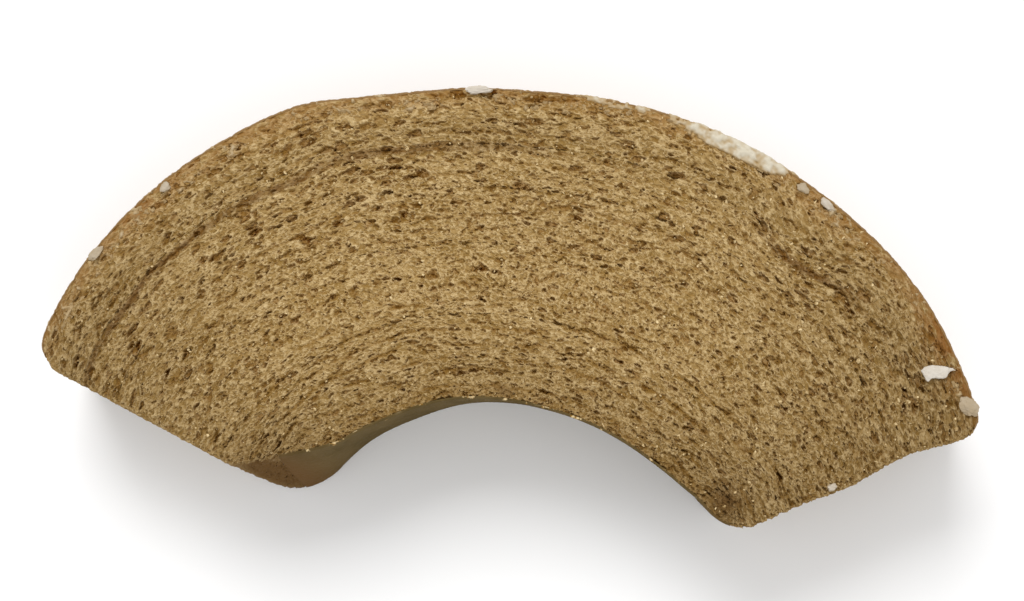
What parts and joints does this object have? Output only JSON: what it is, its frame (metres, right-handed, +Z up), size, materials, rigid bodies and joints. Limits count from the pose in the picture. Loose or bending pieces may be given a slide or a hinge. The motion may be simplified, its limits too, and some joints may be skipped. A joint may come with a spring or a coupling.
{
  "type": "baumkuchen slice",
  "caption": "Cut piece of a layered ring cake with a browned rim, an open bore side and flakes of sugar glaze, lying flat on one cut face.",
  "frame": {"origin": "centre of the bounding box in plan, on the flat cut face that the piece lies on", "axes": "+Z up through the piece's thickness, +X along its longest side with the torn cut at +X, +Y towards the browned rim"},
  "size_m": [0.1444, 0.0677, 0.0304],
  "materials": {
    "crumb": "matt golden brown sponge crumb with fine pores, darker at the joints between its layers",
    "crust": "baked brown skin on the rim and in the bore, slightly satin",
    "sugar": "dry white sugar glaze, left in flakes and thin patches"
  },
  "bodies": {
    "root": {"baumkuchen_slice": "crumb"}
  },
  "joints": []
}
